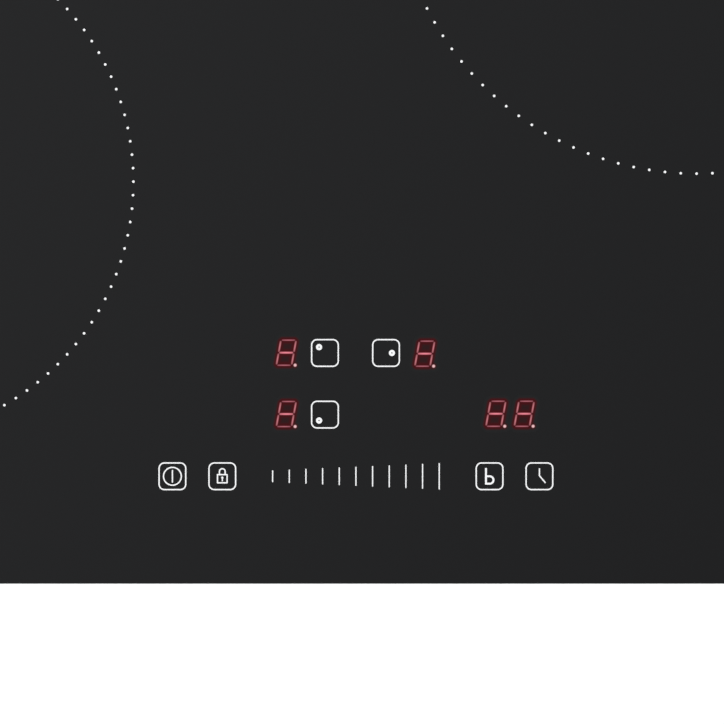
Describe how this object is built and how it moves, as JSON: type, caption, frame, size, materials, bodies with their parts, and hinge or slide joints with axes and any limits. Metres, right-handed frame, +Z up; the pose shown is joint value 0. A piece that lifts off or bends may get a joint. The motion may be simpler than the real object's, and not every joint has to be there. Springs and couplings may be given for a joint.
{
  "type": "electric induction cooktop",
  "caption": "Flat built-in induction hob: black glass over a shallow steel case, dotted cooking rings, touch slider and red digits.",
  "frame": {"origin": "centre of the hob on the plane of its pressed feet", "axes": "+X to the right along the front edge, +Y to the back, +Z up out of the glass"},
  "size_m": [0.59, 0.52, 0.0591],
  "materials": {
    "black_glass": "gloss",
    "white_enamel": "satin",
    "foam_seal": "matte",
    "silicone": "satin",
    "galvanised_steel": "satin",
    "zinc_screw": "gloss",
    "aluminium_sheet": "satin",
    "former_plastic": "matte",
    "copper_litz": "satin",
    "ferrite": "matte",
    "mica": "satin",
    "sensor_cap": "satin",
    "spring_steel": "gloss",
    "board_green": "satin",
    "sink_aluminium": "satin",
    "black_epoxy": "matte",
    "capacitor_yellow": "satin",
    "choke_winding": "gloss",
    "terminal_brass": "gloss",
    "connector_white": "satin",
    "fan_plastic": "satin",
    "carrier_plastic": "matte",
    "pad_foam": "matte",
    "display_case": "satin",
    "led_red": "emissive",
    "box_plastic": "matte",
    "block_plastic": "satin",
    "cover_plastic": "satin",
    "gland_plastic": "satin",
    "lead_silicone": "satin",
    "lead_white": "satin",
    "lead_mains": "satin",
    "ribbon_grey": "satin"
  },
  "bodies": {
    "hob": {"glass_plate": "black_glass", "zone_print": "white_enamel", "control_print": "white_enamel", "worktop_seal": "foam_seal", "glass_adhesive": "silicone", "side_rails": "galvanised_steel", "cross_rails": "galvanised_steel", "base_tray": "galvanised_steel", "tray_screws": "zinc_screw", "coil_plate": "aluminium_sheet", "posts": "galvanised_steel", "post_screws": "zinc_screw", "ferrite_bars": "ferrite", "mica_discs": "mica", "power_board_left": "board_green", "power_board_right": "board_green", "filter_board": "board_green", "heat_sink_left": "sink_aluminium", "heat_sink_right": "sink_aluminium", "power_semiconductors": "black_epoxy", "film_capacitors": "capacitor_yellow", "filter_chokes": "choke_winding", "lead_terminals": "terminal_brass", "board_connectors": "connector_white", "fan_housing_left": "fan_plastic", "fan_housing_right": "fan_plastic", "fan_screws": "zinc_screw", "touch_board_carrier": "carrier_plastic", "touch_board": "board_green", "touch_pads": "pad_foam", "led_displays": "display_case", "led_segments": "led_red", "terminal_box": "box_plastic", "terminal_block": "block_plastic", "terminal_screws": "zinc_screw", "cord_gland": "gland_plastic", "bracket_screws": "zinc_screw", "coil_leads": "lead_silicone", "signal_leads": "lead_white", "mains_wires": "lead_mains", "display_ribbon": "ribbon_grey", "coil_former_front_left": "former_plastic", "coil_winding_front_left": "copper_litz", "coil_former_rear_left": "former_plastic", "coil_winding_rear_left": "copper_litz", "coil_former_right": "former_plastic", "coil_winding_right": "copper_litz"},
    "terminal_cover": {"terminal_cover": "cover_plastic"},
    "fan_rotor_left": {"fan_rotor_left": "fan_plastic"},
    "fan_rotor_right": {"fan_rotor_right": "fan_plastic"},
    "sensor_front_left": {"sensor_front_left": "sensor_cap", "sensor_spring_front_left": "spring_steel"},
    "sensor_rear_left": {"sensor_rear_left": "sensor_cap", "sensor_spring_rear_left": "spring_steel"},
    "sensor_right": {"sensor_right": "sensor_cap", "sensor_spring_right": "spring_steel"},
    "bracket_front_left": {"bracket_front_left": "galvanised_steel"},
    "bracket_rear_left": {"bracket_rear_left": "galvanised_steel"},
    "bracket_front_right": {"bracket_front_right": "galvanised_steel"},
    "bracket_rear_right": {"bracket_rear_right": "galvanised_steel"}
  },
  "joints": [
    {"name": "fan_left_spin", "type": "hinge", "parent": "hob", "child": "fan_rotor_left", "pos_m": [-0.165, -0.15, 0.014], "axis": [0, 0, 1], "continuous": true},
    {"name": "fan_right_spin", "type": "hinge", "parent": "hob", "child": "fan_rotor_right", "pos_m": [0.165, -0.15, 0.014], "axis": [0, 0, 1], "continuous": true},
    {"name": "terminal_cover_hinge", "type": "hinge", "parent": "hob", "child": "terminal_cover", "pos_m": [0.202, 0.2462, 0.0072], "axis": [-1, 0, 0], "range_deg": [0, 95]},
    {"name": "sensor_front_left_press", "type": "slide", "parent": "hob", "child": "sensor_front_left", "axis": [0, 0, 1], "range_m": [-0.002, 0], "stiffness_N_per_m": 200, "springref_m": 0.003, "deforming": ["sensor_spring_front_left"]},
    {"name": "sensor_rear_left_press", "type": "slide", "parent": "hob", "child": "sensor_rear_left", "axis": [0, 0, 1], "range_m": [-0.002, 0], "stiffness_N_per_m": 200, "springref_m": 0.003, "deforming": ["sensor_spring_rear_left"]},
    {"name": "sensor_right_press", "type": "slide", "parent": "hob", "child": "sensor_right", "axis": [0, 0, 1], "range_m": [-0.002, 0], "stiffness_N_per_m": 200, "springref_m": 0.003, "deforming": ["sensor_spring_right"]},
    {"name": "bracket_front_left_slide", "type": "slide", "parent": "hob", "child": "bracket_front_left", "axis": [0, 0, 1], "range_m": [0, 0.004]},
    {"name": "bracket_rear_left_slide", "type": "slide", "parent": "hob", "child": "bracket_rear_left", "axis": [0, 0, 1], "range_m": [0, 0.004]},
    {"name": "bracket_front_right_slide", "type": "slide", "parent": "hob", "child": "bracket_front_right", "axis": [0, 0, 1], "range_m": [0, 0.004]},
    {"name": "bracket_rear_right_slide", "type": "slide", "parent": "hob", "child": "bracket_rear_right", "axis": [0, 0, 1], "range_m": [0, 0.004]}
  ]
}
